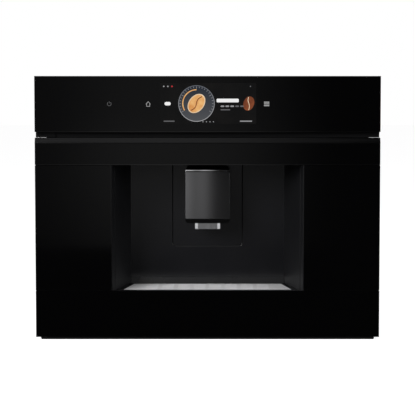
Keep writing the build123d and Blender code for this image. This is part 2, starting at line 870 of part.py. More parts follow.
groove_first_x, groove_pitch, groove_count = -54.0, 16.0, 6
groove_width, groove_depth = 8.0, 10.0
heater_ports = [(-30.0, 134.0), (10.0, 134.0)]
heater_port_top = heater_z[1] + 10.0

with BuildPart() as thermoblock:
    block(heater_x, heater_y, heater_z)
    groove_y = (heater_y[1] - groove_depth, heater_y[1])
    for count in range(groove_count):
        x = groove_first_x + count * groove_pitch
        block((x, x + groove_width), groove_y, heater_z, Mode.SUBTRACT)
    for x in (heater_x[0], heater_x[1] - cheek):
        block((x, x + cheek), heater_y, (floor_z, heater_z[0]))
    for place in heater_ports:
        post(port_radius, place, (heater_z[1], heater_port_top))
thermoblock.part.label = "thermoblock"
export_step(thermoblock.part, "parts/thermoblock.step")

# Three fixed hoses: tank to pump, pump to thermoblock, thermoblock to brew unit
hose_radius, hose_bore = 3.0, 1.8
hose_bend = 12.0
tank_hose = [
    (185, tank_y[1], 100),
    (185, 108, 100),
    (185, 108, 56),
    (-170, 108, 56),
    (-170, 30, pump_z),
    (pump_x, 30, pump_z),
    (pump_x, front_port_y[0], pump_z),
]
pressure_hose = [
    (pump_x, rear_port_y[1], pump_z),
    (pump_x, 174, pump_z),
    (pump_x, 174, 250),
    (-30, 174, 250),
    (*heater_ports[0], 250),
    (*heater_ports[0], heater_port_top),
]
brew_hose = [
    (*heater_ports[1], heater_port_top),
    (*heater_ports[1], 330),
    (30, 40, 330),
    (30, 40, bridge_z[1]),
]

with BuildPart() as water_hoses:
    for route in (tank_hose, pressure_hose, brew_hose):
        with BuildLine() as centre_line:
            FilletPolyline(*route, radius=hose_bend)
        with BuildSketch(Plane(origin=centre_line.line @ 0, z_dir=centre_line.line % 0)):
            Circle(hose_radius)
            Circle(hose_bore, mode=Mode.SUBTRACT)
        sweep(path=centre_line.line)
water_hoses.part.label = "water_hoses"
export_step(water_hoses.part, "parts/water_hoses.step")

# -------------------------------------------------------------------- electronics
board_x = (-267.0, -265.4)
board_y, board_z = (96.0, 178.0), (120.0, 340.0)
pillar_inset, pillar_radius = 6.0, 3.0
# Each block on the board: its height, its Y range and its Z range
board_blocks = [
    (26.0, (104.0, 134.0), (290.0, 326.0)),
    (12.0, (146.0, 172.0), (240.0, 300.0)),
    *[(14.0, (104.0, 112.0), (z, z + 10.0)) for z in range(136, 230, 18)],
]
capacitor_height, capacitor_radius = 22.0, 6.0
capacitor_places = [(y, 160.0) for y in (124.0, 142.0, 160.0)]

with BuildPart() as main_board:
    block(board_x, board_y, board_z)
    pillar_x = (-inner_half_width + board_x[0]) / 2
    pillar_length = board_x[0] + inner_half_width
    for y in (board_y[0] + pillar_inset, board_y[1] - pillar_inset):
        for z in (board_z[0] + pillar_inset, board_z[1] - pillar_inset):
            with Locations((pillar_x, y, z)):
                Cylinder(pillar_radius, pillar_length, rotation=(0, 90, 0))
    for height, y_range, z_range in board_blocks:
        block((board_x[1], board_x[1] + height), y_range, z_range)
    for y, z in capacitor_places:
        with Locations((board_x[1] + capacitor_height / 2, y, z)):
            Cylinder(capacitor_radius, capacitor_height, rotation=(0, 90, 0))
main_board.part.label = "main_board"
export_step(main_board.part, "parts/main_board.step")

fan_frame_half = 46.0
fan_thick = 25.0
fan_y = (body_rear_y - sheet - fan_thick, body_rear_y - sheet)
strut_thick, strut_half_width = 4.0, 2.0
strut_reach = fan_bore_radius + 1.0
hub_seat_radius, hub_bore_floor = 16.0, 0.8
fan_hub_radius = 18.0
fan_blades = 7
fan_shaft_radius = 3.0
fan_middle_y = fan_y[0] + 11.0
fan_hub_length = 15.0
blade_length, blade_chord, blade_thick, blade_angle = 25.0, 12.5, 1.8, 32.0
blade_middle_radius = 29.5
fan_shaft_length, fan_shaft_overlap = 6.0, 1.0

with BuildPart() as fan_frame:
    fan_box = (fan_x - fan_frame_half, fan_x + fan_frame_half)
    block(fan_box, fan_y, (fan_z - fan_frame_half, fan_z + fan_frame_half))
    bar_along_y(fan_bore_radius, (fan_x, fan_z), fan_y, Mode.SUBTRACT)
    strut_y = (fan_y[1] - strut_thick, fan_y[1])
    long_x = (fan_x - strut_reach, fan_x + strut_reach)
    long_z = (fan_z - strut_reach, fan_z + strut_reach)
    block(long_x, strut_y, (fan_z - strut_half_width, fan_z + strut_half_width))
    block((fan_x - strut_half_width, fan_x + strut_half_width), strut_y, long_z)
    bar_along_y(hub_seat_radius, (fan_x, fan_z), strut_y)
    hub_bore_y = (strut_y[0], strut_y[1] - hub_bore_floor)
    hub_bore = fan_shaft_radius + running_gap
    bar_along_y(hub_bore, (fan_x, fan_z), hub_bore_y, Mode.SUBTRACT)
fan_frame.part.label = "fan_frame"
export_step(fan_frame.part, "parts/fan_frame.step")

fan_plane = Plane(origin=(fan_x, fan_middle_y, fan_z), x_dir=(1, 0, 0), z_dir=(0, -1, 0))
with BuildPart(fan_plane) as fan_impeller:
    Cylinder(fan_hub_radius, fan_hub_length)
    with PolarLocations(blade_middle_radius, fan_blades):
        Box(blade_length, blade_chord, blade_thick, rotation=(blade_angle, 0, 0))
    # The shaft starts a little inside the hub
    shaft_middle = fan_shaft_overlap - (fan_hub_length + fan_shaft_length) / 2
    with Locations((0, 0, shaft_middle)):
        Cylinder(fan_shaft_radius, fan_shaft_length)
fan_impeller.part.label = "fan_impeller"
export_step(fan_impeller.part, "parts/fan_impeller.step")

inlet_rear_y = body_rear_y + 2.0
flange_width, flange_height, flange_corner = 48.0, 26.0, 3.0
inlet_depth = 22.0
socket_width, socket_height, socket_depth, socket_bevel = 24.4, 16.8, 17.0, 6.0
blade_places = ((-7.0, -1.5), (7.0, -1.5), (0.0, 2.5))
blade_half_width, blade_half_height, blade_setback = 1.0, 2.0, 3.0

with BuildPart() as power_inlet:
    with BuildSketch(Plane.XZ.offset(-inlet_rear_y)):
        with Locations((inlet_x, inlet_z)):
            RectangleRounded(flange_width, flange_height, flange_corner)
    extrude(amount=inlet_rear_y - body_rear_y)
    inlet_box = (inlet_x - inlet_width / 2, inlet_x + inlet_width / 2)
    inlet_box_z = (inlet_z - inlet_height / 2, inlet_z + inlet_height / 2)
    block(inlet_box, (body_rear_y - inlet_depth, body_rear_y), inlet_box_z)
    with BuildSketch(Plane.XZ.offset(-inlet_rear_y)):
        with Locations((inlet_x, inlet_z)):
            Rectangle(socket_width, socket_height)
            corners = [(side * socket_width / 2, socket_height / 2) for side in (-1, 1)]
            with Locations(*corners):
                Rectangle(socket_bevel, socket_bevel, rotation=45, mode=Mode.SUBTRACT)
    extrude(amount=socket_depth, mode=Mode.SUBTRACT)
    for x, z in blade_places:
        block(
            (inlet_x + x - blade_half_width, inlet_x + x + blade_half_width),
            (inlet_rear_y - socket_depth, inlet_rear_y - blade_setback),
            (inlet_z + z - blade_half_height, inlet_z + z + blade_half_height),
        )
power_inlet.part.label = "power_inlet"
export_step(power_inlet.part, "parts/power_inlet.step")

# ---------------------------------------------------------------------- door hinge
hinge_axis = (hinge_x, depth(hinge_depth))
eye_radius = 4.0
bracket_thick = 3.0
upper_bracket_z = door_top + 1.0
lower_bracket_z = 6.3
notch_top = 9.9
upper_pin_end = 322.0
lower_pin_end = 29.5
bush_gap = 2.0
# Where each bracket is fixed to the chassis: middle X, width and front depth
upper_root_x, upper_root_width = -272.0, 20.0
lower_root_x, lower_root_width = -267.0, 18.0
root_thick = 4.0
tab_thick = 2.0
tab_top_gap = 0.5

with BuildPart() as hinge_brackets:
    with BuildSketch(Plane.XY.offset(upper_bracket_z)):
        with Locations(hinge_axis):
            Circle(eye_radius)
        with Locations((upper_root_x, depth(recess_wall_depth - root_thick / 2))):
            Rectangle(upper_root_width, root_thick)
        make_hull()
    extrude(amount=bracket_thick)
    block(
        (upper_root_x - upper_root_width / 2, upper_root_x + upper_root_width / 2),
        (depth(recess_wall_depth - tab_thick), depth(recess_wall_depth)),
        (upper_bracket_z, panel_bottom - tab_top_gap),
    )
    with BuildSketch(Plane.XY.offset(lower_bracket_z)):
        with Locations(hinge_axis):
            Circle(eye_radius)
        with Locations((lower_root_x, depth(chassis_depth - root_thick / 2))):
            Rectangle(lower_root_width, root_thick)
        make_hull()
    extrude(amount=bracket_thick)
    post(pin_radius, hinge_axis, (0, body_top), Mode.SUBTRACT)
hinge_brackets.part.label = "hinge_brackets"
export_step(hinge_brackets.part, "parts/hinge_brackets.step")

with BuildPart() as hinge_pins:
    post(pin_radius, hinge_axis, (upper_pin_end, upper_bracket_z + bracket_thick))
    post(pin_radius, hinge_axis, (lower_bracket_z, lower_pin_end))
hinge_pins.part.label = "hinge_pins"
export_step(hinge_pins.part, "parts/hinge_pins.step")

with BuildPart() as hinge_bushes:
    post(bush_radius, hinge_axis, (upper_pin_end + bush_gap, bevel_bottom))
    post(bush_radius, hinge_axis, (notch_top, lower_pin_end - bush_gap))
    post(pin_radius + running_gap, hinge_axis, (0, body_top), Mode.SUBTRACT)
hinge_bushes.part.label = "hinge_bushes"
export_step(hinge_bushes.part, "parts/hinge_bushes.step")

# ---------------------------------------------------------------------------- door
frame_half_width = 296.5
frame_bottom = lower_bracket_z
cut_half_width = 166.0
cut_z = (78.0, 306.0)
pocket_depth = 19.0
rib = 3.0
corner_x = -276.0
striker_x, striker_z = (254.0, 276.0), (78.5, 87.5)
striker_thick = 1.2
rail_bottom = 13.0
rail_columns, stile_rows = 4, 3
notch_end_x = -250.0
bore_end_gap = 1.0
catch_inset_x, catch_inset_z = 2.0, 0.5


def cells(x_range, y_range, z_range, columns, rows):
    """Cut a grid of pockets that leaves ribs between them."""
    width = (x_range[1] - x_range[0] + rib) / columns
    height = (z_range[1] - z_range[0] + rib) / rows
    middle = (sum(x_range) / 2, sum(y_range) / 2, sum(z_range) / 2)
    with Locations(Plane(origin=middle, x_dir=(1, 0, 0), z_dir=(0, -1, 0))):
        with GridLocations(width, height, columns, rows):
            Box(width - rib, height - rib, y_range[1] - y_range[0], mode=Mode.SUBTRACT)


with BuildPart() as door_frame:
    door_y = (depth(glass), depth(door_depth))
    pocket_y = (depth(glass), depth(pocket_depth))
    block((-frame_half_width, frame_half_width), door_y, (frame_bottom, bevel_bottom))
    block((-cut_half_width, cut_half_width), door_y, cut_z, Mode.SUBTRACT)
    # Ribbed rails and stiles, open to the front, where the glass closes the cells
    rail_x = (corner_x, frame_half_width - rib)
    cells(rail_x, pocket_y, (rail_bottom, cut_z[0] - rib), rail_columns, 1)
    cells(rail_x, pocket_y, (cut_z[1] + rib, bevel_bottom - rib), rail_columns, 1)
    stile_z = (cut_z[0] + rib, cut_z[1] - rib)
    for side in (-1, 1):
        stile = (side * (cut_half_width + rib), side * (frame_half_width - rib))
        cells(sorted(stile), pocket_y, stile_z, 1, stile_rows)
    # Notch for the lower hinge bracket and bores for the two bushes
    notch_x = (-frame_half_width, notch_end_x)
    block(notch_x, door_y, (frame_bottom, notch_top), Mode.SUBTRACT)
    lower_bore_z = (notch_top, lower_pin_end + bore_end_gap)
    post(bush_radius, hinge_axis, lower_bore_z, Mode.SUBTRACT)
    upper_bore_z = (upper_pin_end - bore_end_gap, bevel_bottom)
    post(bush_radius, hinge_axis, upper_bore_z, Mode.SUBTRACT)
    striker_y = (depth(door_depth - striker_thick), depth(door_depth))
    block(striker_x, striker_y, striker_z, Mode.SUBTRACT)
door_frame.part.label = "door_frame"
export_step(door_frame.part, "parts/door_frame.step")

with BuildPart() as door_striker_plate:
    block(striker_x, striker_y, striker_z)
door_striker_plate.part.label = "door_striker_plate"
export_step(door_striker_plate.part, "parts/door_striker_plate.step")

with BuildPart() as magnet_catch:
    block(
        (striker_x[0] + catch_inset_x, striker_x[1] - catch_inset_x),
        (depth(door_depth + fit_gap), depth(chassis_depth)),
        (striker_z[0] + catch_inset_z, striker_z[1] - catch_inset_z),
    )
magnet_catch.part.label = "magnet_catch"
export_step(magnet_catch.part, "parts/magnet_catch.step")

lining_z = (niche_floor_top - fit_gap, upper_seam)
with BuildPart() as door_niche_lining:
    block((-cut_half_width, cut_half_width), door_y, cut_z)
    with BuildSketch(Plane.XY.offset(lining_z[0])):
        near, far = niche_half(glass), niche_half(door_depth)
        Polygon(*trapezoid(glass, door_depth, near, far), align=None)
    extrude(amount=lining_z[1] - lining_z[0], mode=Mode.SUBTRACT)
door_niche_lining.part.label = "door_niche_lining"
export_step(door_niche_lining.part, "parts/door_niche_lining.step")


def glass_pane(x_range, z_range):
    """A pane of the door front with its front edges ground."""
    with BuildPart() as pane:
        block(x_range, (depth(0), depth(glass)), z_range)
        chamfer(pane.faces().sort_by(Axis.Y)[0].edges(), glass_chamfer)
    return pane


side_pane_z = (lower_seam + seam_gap / 2, upper_seam - seam_gap / 2)

door_band_glass = glass_pane(
    (-half_width, half_width), (upper_seam + seam_gap / 2, bevel_bottom)
)
door_band_glass.part.label = "door_band_glass"
export_step(door_band_glass.part, "parts/door_band_glass.step")

door_left_glass = glass_pane((-half_width, -niche_front_half), side_pane_z)
door_left_glass.part.label = "door_left_glass"
export_step(door_left_glass.part, "parts/door_left_glass.step")

door_right_glass = glass_pane((niche_front_half, half_width), side_pane_z)
door_right_glass.part.label = "door_right_glass"
export_step(door_right_glass.part, "parts/door_right_glass.step")

door_bottom_glass = glass_pane(
    (-half_width, half_width), (door_bottom, lower_seam - seam_gap / 2)
)
door_bottom_glass.part.label = "door_bottom_glass"
export_step(door_bottom_glass.part, "parts/door_bottom_glass.step")

bevel_depth = 4.0
bevel_lip = 2.0
channel_half = 270.0
pin_clearance = 0.6

with BuildPart() as door_grip_strip:
    with BuildSketch(Plane.YZ.offset(-half_width)):
        Polygon(
            (depth(0), bevel_bottom),
            (depth(0), bevel_bottom + bevel_lip),
            (depth(bevel_depth), door_top),
            (depth(door_depth), door_top),
            (depth(door_depth), bevel_bottom),
            align=None,
        )
    extrude(amount=overall_width)
    channel_y = (depth(bevel_depth + wall), depth(door_depth - wall))
    block((-channel_half, channel_half), channel_y, (bevel_bottom, door_top - wall), Mode.SUBTRACT)
    grip_bore = pin_radius + pin_clearance
    post(grip_bore, hinge_axis, (bevel_bottom, door_top), Mode.SUBTRACT)
door_grip_strip.part.label = "door_grip_strip"
export_step(door_grip_strip.part, "parts/door_grip_strip.step")

# --------------------------------------------------------------------- outlet head
plate_middle = 2.6
plate_edge = 1.0
shell = 3.0
shell_depth = head_front_depth + plate_middle
head_rear_depth = niche_depth - 1.0
head_floor = head_bottom + 5.0
spout_depth = 88.0
spout_width, spout_length = 44.2, 20.0
facet_width, facet_depth = 5.0, 2.3
spout_wall = 1.2
spout_z = (spout_bottom, head_floor)
plate_corner = 1.5
trim_gap = 1.4
housing_corner = 5.0
cavity_inset = 4.0
spout_flange, spout_flange_height = 3.0, 1.5
nozzle_setback, nozzle_length = 3.5, 23.0
nozzle_plate_lift, nozzle_plate_thick = 4.0, 3.0
nozzle_tip = spout_bottom + nozzle_setback
nozzle_z = (nozzle_tip, nozzle_tip + nozzle_length)
nozzle_plate_bottom = nozzle_tip + nozzle_plate_lift
nozzle_plate_z = (nozzle_plate_bottom, nozzle_plate_bottom + nozzle_plate_thick)
nozzle_wall = 1.2
nozzles = ((-12.0, 3.0), (0.0, 4.0), (12.0, 3.0))


def bowed_plate(z_low, z_high, half):
    """A front plate, flat behind and slightly bowed towards the viewer."""
    back = depth(shell_depth)
    with BuildPart() as plate:
        with BuildSketch(Plane.XY.offset(z_low)):
            with BuildLine():
                left, right = (-half, back - plate_edge), (half, back - plate_edge)
                Polyline(left, (-half, back), (half, back), right)
                ThreePointArc(right, (0, back - plate_middle), left)
            make_face()
        extrude(amount=z_high - z_low)
    return plate


def spout_outline(growth):
    """The plan of the spout with its four corners cut, grown on every side."""
    half_x, half_y = spout_width / 2 + growth, spout_length / 2 + growth
    corners = [
        (half_x - facet_width, -half_y),
        (half_x, facet_depth - half_y),
        (half_x, half_y - facet_depth),
        (half_x - facet_width, half_y),
    ]
    with Locations((0, depth(spout_depth))):
        Polygon(*corners, *((-x, y) for x, y in reversed(corners)), align=None)


with BuildPart() as outlet_housing:
    with BuildSketch(Plane.XY.offset(head_bottom)):
        near, far = shell_depth, head_rear_depth
        Polygon(*trapezoid(near, far, head_half_width, head_rear_half), align=None)
    extrude(amount=head_rear_top - head_bottom)
    # The top rises towards the back
    with BuildSketch(Plane.YZ):
        Polygon(
            (depth(shell_depth), head_top),
            (depth(head_rear_depth), head_rear_top),
            (depth(shell_depth), head_rear_top),
            align=None,
        )
    extrude(amount=head_half_width, both=True, mode=Mode.SUBTRACT)
    underside = outlet_housing.faces().sort_by(Axis.Z)[0]
    fillet(underside.edges().sort_by(Axis.X)[0], housing_corner)
    underside = outlet_housing.faces().sort_by(Axis.Z)[0]
    fillet(underside.edges().sort_by(Axis.X)[-1], housing_corner)
    with BuildSketch(Plane.XY.offset(head_floor)):
        near, far = shell_depth + shell, head_rear_depth + overcut
        near_half, far_half = head_half_width - cavity_inset, head_rear_half - cavity_inset
        Polygon(*trapezoid(near, far, near_half, far_half), align=None)
    extrude(amount=head_top - shell - head_floor, mode=Mode.SUBTRACT)
    with BuildSketch(Plane.XY.offset(head_bottom)):
        spout_outline(0)
    extrude(amount=head_floor - head_bottom, mode=Mode.SUBTRACT)
outlet_housing.part.label = "outlet_housing"
export_step(outlet_housing.part, "parts/outlet_housing.step")

outlet_front_plate = bowed_plate(plate_bottom, plate_top, head_half_width)
with outlet_front_plate:
    fillet(outlet_front_plate.edges().filter_by(Axis.Y), plate_corner)
outlet_front_plate.part.label = "outlet_front_plate"
export_step(outlet_front_plate.part, "parts/outlet_front_plate.step")

outlet_trim_strip = bowed_plate(plate_top + trim_gap, head_top, head_half_width)
outlet_trim_strip.part.label = "outlet_trim_strip"
export_step(outlet_trim_strip.part, "parts/outlet_trim_strip.step")

flange_top = spout_z[1] + spout_flange_height

with BuildPart() as spout_shroud:
    with BuildSketch(Plane.XY.offset(spout_z[0])):
        spout_outline(0)
    extrude(amount=spout_z[1] - spout_z[0])
    with BuildSketch(Plane.XY.offset(spout_z[1])):
        spout_outline(spout_flange)
    extrude(amount=spout_flange_height)
    with BuildSketch(Plane.XY.offset(spout_z[0])):
        spout_outline(-spout_wall)
    extrude(amount=flange_top - spout_z[0], mode=Mode.SUBTRACT)
spout_shroud.part.label = "spout_shroud"
export_step(spout_shroud.part, "parts/spout_shroud.step")

with BuildPart() as spout_nozzles:
    with BuildSketch(Plane.XY.offset(nozzle_plate_z[0])):
        spout_outline(-spout_wall)
    extrude(amount=nozzle_plate_z[1] - nozzle_plate_z[0])
    for x, radius in nozzles:
        centre = (x, depth(spout_depth))
        post(radius, centre, nozzle_z)
        post(radius - nozzle_wall, centre, nozzle_z, Mode.SUBTRACT)
spout_nozzles.part.label = "spout_nozzles"
export_step(spout_nozzles.part, "parts/spout_nozzles.step")

# The carriage behind the slide panel, with a strip that keeps the slot covered
cover_depth, cover_thick, cover_half_width = slide_panel_rear + fit_gap, 1.2, 13.0
cover_y = (depth(cover_depth), depth(cover_depth + cover_thick))
neck_half_width, neck_z = 9.0, (225.0, 255.0)
yoke_thick, bearing_half_width, bearing_overhang = 3.0, 7.0, 7.0
yoke_half_width = rod_x + bearing_half_width
carriage_z = (220.0, 260.0)
cover_margin = 2.0
cover_z = (slot_z[0] - travel_up - cover_margin, slot_z[1] + travel_down)

with BuildPart() as outlet_carriage:
    neck_y = (depth(shell_depth + shell), cover_y[1])
    block((-neck_half_width, neck_half_width), neck_y, neck_z)
    block((-cover_half_width, cover_half_width), cover_y, cover_z)
    yoke_y = (cover_y[1], cover_y[1] + yoke_thick)
    block((-yoke_half_width, yoke_half_width), yoke_y, carriage_z)
    for x in (-rod_x, rod_x):
        block(
            (x - bearing_half_width, x + bearing_half_width),
            (cover_y[1], depth(rod_depth + bearing_overhang)),
            carriage_z,
        )
        post(rod_radius + running_gap, (x, depth(rod_depth)), carriage_z, Mode.SUBTRACT)
outlet_carriage.part.label = "outlet_carriage"
export_step(outlet_carriage.part, "parts/outlet_carriage.step")
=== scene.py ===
import json
import math

import bmesh
import bpy
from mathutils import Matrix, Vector


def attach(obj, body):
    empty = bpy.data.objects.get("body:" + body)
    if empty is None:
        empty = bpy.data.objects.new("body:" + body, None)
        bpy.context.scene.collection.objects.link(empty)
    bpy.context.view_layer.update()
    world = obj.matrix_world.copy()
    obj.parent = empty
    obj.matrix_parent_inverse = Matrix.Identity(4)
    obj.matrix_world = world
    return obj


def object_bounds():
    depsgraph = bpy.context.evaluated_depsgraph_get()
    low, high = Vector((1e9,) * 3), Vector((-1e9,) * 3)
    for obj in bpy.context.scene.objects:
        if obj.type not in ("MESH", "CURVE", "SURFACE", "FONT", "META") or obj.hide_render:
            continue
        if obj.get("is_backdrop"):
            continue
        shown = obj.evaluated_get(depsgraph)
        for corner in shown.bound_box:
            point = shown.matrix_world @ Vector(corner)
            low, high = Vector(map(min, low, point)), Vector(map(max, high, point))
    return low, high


# The looks of a built-in coffee machine, in metres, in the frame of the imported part:
# X to the right, Y to the back, Z up. The front face of the door is at Y = FRONT.

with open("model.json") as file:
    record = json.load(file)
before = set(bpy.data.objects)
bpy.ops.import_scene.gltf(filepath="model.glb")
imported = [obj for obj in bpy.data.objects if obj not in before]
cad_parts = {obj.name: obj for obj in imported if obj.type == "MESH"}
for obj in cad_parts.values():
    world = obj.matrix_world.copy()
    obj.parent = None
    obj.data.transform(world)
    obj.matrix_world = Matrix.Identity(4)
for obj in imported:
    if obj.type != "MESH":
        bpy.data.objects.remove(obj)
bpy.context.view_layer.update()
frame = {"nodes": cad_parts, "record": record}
nodes = frame["nodes"]

MM = 0.001
FRONT = -0.1925

# Sockets of the Mix node, which has a set of its own for each kind of data
COLOUR_SOCKETS, COLOUR_RESULT = (6, 7), 2
VECTOR_SOCKETS, VECTOR_RESULT = (4, 5), 1


# ----------------------------------------------------------------------- materials
class Look:
    """A node material on the Principled shader, with procedural detail added to it."""

    def __init__(self, name, colour, roughness, metallic=0.0, **sockets):
        self.material = bpy.data.materials.new(name)
        self.material.use_nodes = True
        self.tree = self.material.node_tree
        self.shader = self.tree.nodes["Principled BSDF"]
        self.shader.inputs["Base Color"].default_value = (*colour, 1.0)
        self.shader.inputs["Roughness"].default_value = roughness
        self.shader.inputs["Metallic"].default_value = metallic
        for key, value in sockets.items():
            self.shader.inputs[key.replace("_", " ")].default_value = value
        self.colour = colour
        self.roughness = roughness
        self.place = self.tree.nodes.new("ShaderNodeTexCoord").outputs["Object"]
        self.normal = None

    def node(self, kind, inputs=None, **settings):
        made = self.tree.nodes.new(kind)
        for key, value in settings.items():
            setattr(made, key, value)
        for key, value in (inputs or {}).items():
            if isinstance(value, bpy.types.NodeSocket):
                self.tree.links.new(value, made.inputs[key])
            else:
                made.inputs[key].default_value = value
        return made

    def stretched(self, stretch):
        """The place on the object, scaled on each axis."""
        mapping = self.node("ShaderNodeMapping", {"Vector": self.place, "Scale": stretch})
        return mapping.outputs["Vector"]

    def noise(self, scale, detail=4.0, stretch=(1.0, 1.0, 1.0)):
        made = self.node(
            "ShaderNodeTexNoise",
            {"Vector": self.stretched(stretch), "Scale": scale, "Detail": detail},
        )
        return made.outputs["Fac"]

    def cellular(self, scale, output="Distance"):
        made = self.node("ShaderNodeTexVoronoi", {"Vector": self.place, "Scale": scale})
        return made.outputs[output]

    def remap(self, value, low, high, start=0.3, end=0.7):
        made = self.node(
            "ShaderNodeMapRange",
            {"Value": value, "From Min": start, "From Max": end, "To Min": low, "To Max": high},
        )
        return made.outputs["Result"]

    def blend(self, factor, first, second):
        made = self.node("ShaderNodeMix", data_type="RGBA")
        self.tree.links.new(factor, made.inputs["Factor"])
        for index, colour in zip(COLOUR_SOCKETS, (first, second)):
            if isinstance(colour, bpy.types.NodeSocket):
                self.tree.links.new(colour, made.inputs[index])
            else:
                made.inputs[index].default_value = (*colour, 1.0)
        return made.outputs[COLOUR_RESULT]

    def set(self, key, value):
        self.tree.links.new(value, self.shader.inputs[key])
        return self

    def rough(self, value, spread, start=0.3, end=0.7):
        """Roughness that varies about the look's own by this spread."""
        low, high = self.roughness - spread, self.roughness + spread
        return self.set("Roughness", self.remap(value, low, high, start, end))

    def shade(self, value, spread, start=0.3, end=0.7):
        """Base colour that varies about the look's own by this share."""
        darker = tuple(c * (1 - spread) for c in self.colour)
        lighter = tuple(min(1.0, c * (1 + spread)) for c in self.colour)
        factor = self.remap(value, 0.0, 1.0, start, end)
        return self.set("Base Color", self.blend(factor, darker, lighter))

    def bump(self, value, height, strength=1.0):
        """Relief of this height in metres, added to any relief set before."""
        inputs = {"Height": value, "Distance": height, "Strength": strength}
        if self.normal is not None:
            inputs["Normal"] = self.normal
        self.normal = self.node("ShaderNodeBump", inputs).outputs["Normal"]
        return self.set("Normal", self.normal)

    def direction(self, vector, source, target):
        """A direction taken from one space to another."""
        spaces = {"vector_type": "NORMAL", "convert_from": source, "convert_to": target}
        return self.node("ShaderNodeVectorTransform", {"Vector": vector}, **spaces).outputs[0]

    def lean(self, axis, slope):
        """Tilts the shading as if the face rose by this slope along an axis."""
        place = self.node("ShaderNodeSeparateXYZ", {"Vector": self.place}).outputs[axis]
        rise = self.node("ShaderNodeMath", {0: place, 1: slope}, operation="MULTIPLY")
        return self.bump(rise.outputs[0], 1.0)

    def rounded(self, radius):
        """Softens the sharp edges in the shading."""
        made = self.node("ShaderNodeBevel", {"Radius": radius}, samples=4)
        self.normal = made.outputs["Normal"]
        return self.set("Normal", self.normal)


def black_glass():
    """Printed black glass. Where a face stops looking forwards it is shaded as a rounded edge, which
    leans towards the front and mirrors more at the sides and below. There its base colour is also
    lifted into a painted highlight, strongest on rims that face down."""
    face_ior, edge_ior, rim_highlight_colour = 1.5, 2.3, (0.006, 0.006, 0.0062)
    look = Look("black_glass", (0.0007, 0.0007, 0.0008), 0.07, IOR=face_ior)
    look.rough(look.noise(3.0, 3.0), 0.02)
    geometry = look.node("ShaderNodeNewGeometry").outputs
    own = look.direction(geometry["True Normal"], "WORLD", "OBJECT")
    facing = look.node("ShaderNodeSeparateXYZ", {"Vector": own}).outputs
    forward = look.node("ShaderNodeMath", {0: facing["Y"]}, operation="ABSOLUTE").outputs[0]
    off_face = look.remap(forward, 1.0, 0.0, 0.80, 0.97)
    off_side = look.remap(forward, 0.0, 1.0, 0.05, 0.30)
    rim = look.node("ShaderNodeMath", {0: off_face, 1: off_side}, operation="MULTIPLY").outputs[0]
    below = look.remap(facing["Z"], 1.0, 0.0, -0.5, 0.5)
    rim_highlight = look.node("ShaderNodeMath", {0: rim, 1: below}, operation="MULTIPLY").outputs[0]
    # Painted highlight on the rims: a lighter base colour and a higher IOR, most on rims that face
    # down
    look.set("IOR", look.remap(rim_highlight, face_ior, edge_ior, 0.0, 1.0))
    look.set("Base Color", look.blend(rim_highlight, look.colour, rim_highlight_colour))
    outward = look.direction((0.0, -1.0, 0.0), "OBJECT", "WORLD")
    mixed = look.node("ShaderNodeMix", data_type="VECTOR")
    look.tree.links.new(rim, mixed.inputs["Factor"])
    for index, value in zip(VECTOR_SOCKETS, (geometry["Normal"], outward)):
        look.tree.links.new(value, mixed.inputs[index])
    leaning = mixed.outputs[VECTOR_RESULT]
    look.normal = look.node("ShaderNodeVectorMath", {0: leaning}, operation="NORMALIZE").outputs[0]
    look.bump(look.noise(7.0, 1.0), 0.00001)
    return look


def plastic(name, colour, roughness, grain=0.00004, scale=2600.0, ior=1.46):
    """Moulded plastic with a fine grain."""
    look = Look(name, colour, roughness, IOR=ior)
    look.rounded(0.0005)
    look.rough(look.noise(9.0, 5.0), 0.04)
    look.shade(look.noise(5.0, 3.0), 0.06)
    look.bump(look.noise(scale, 2.0), grain, 0.5)
    return look


def parted(look, axis, start, end, colour, roughness):
    """Another colour and roughness before the start, in metres along an axis, and the
    look's own after the end."""
    place = look.node("ShaderNodeSeparateXYZ", {"Vector": look.place}).outputs[axis]
    share = look.remap(place, 0.0, 1.0, start, end)
    look.set("Base Color", look.blend(share, colour, look.colour))
    return look.set("Roughness", look.remap(place, roughness, look.roughness, start, end))


def brushed(name, colour, roughness, stretch):
    """Metal brushed along the axes that are stretched least."""
    look = Look(name, colour, roughness, 1.0)
    look.rounded(0.0004)
    streaks = look.noise(1.0, 6.0, stretch)
    look.shade(streaks, 0.05)
    look.rough(streaks, 0.05)
    look.bump(streaks, 0.00001, 0.4)
    return look


def satin(name, colour, roughness):
    """Steel with a very fine grain that only just shows."""
    look = Look(name, colour, roughness, 1.0)
    look.rounded(0.0005)
    grain = look.noise(1.0, 3.0, (3200.0, 3200.0, 140.0))
    look.shade(grain, 0.02)
    look.rough(grain, 0.015)
    look.bump(grain, 0.0000003, 0.3)
    return look


def blasted(name, colour, roughness):
    """Bead-blasted steel, matt and pale."""
    look = Look(name, colour, roughness, 0.0, IOR=1.25)
    look.rounded(0.0004)
    look.shade(look.noise(1500.0, 3.0), 0.04)
    look.rough(look.noise(40.0, 4.0), 0.04)
    look.bump(look.noise(2400.0, 2.0), 0.00001, 0.4)
    return look


def sheet_metal(name, colour, roughness):
    """Galvanised sheet with a faint spangle."""
    look = Look(name, colour, roughness, 0.85)
    look.rounded(0.0004)
    look.rough(look.cellular(90.0, "Distance"), 0.06, 0.0, 0.8)
    spangle = look.cellular(90.0, "Color")
    tone = look.node("ShaderNodeSeparateColor", {"Color": spangle}).outputs[0]
    look.shade(tone, 0.07, 0.0, 1.0)
    look.bump(look.noise(60.0, 3.0), 0.00003, 0.3)
    return look


def painted(name, colour, roughness, ior=1.45):
    """Powder-coated metal with a slight orange-peel relief."""
    look = Look(name, colour, roughness, IOR=ior)
    look.rounded(0.0005)
    look.rough(look.noise(12.0, 4.0), 0.05)
    look.shade(look.noise(6.0, 3.0), 0.08)
    look.bump(look.noise(1400.0, 2.0), 0.00003, 0.5)
    return look


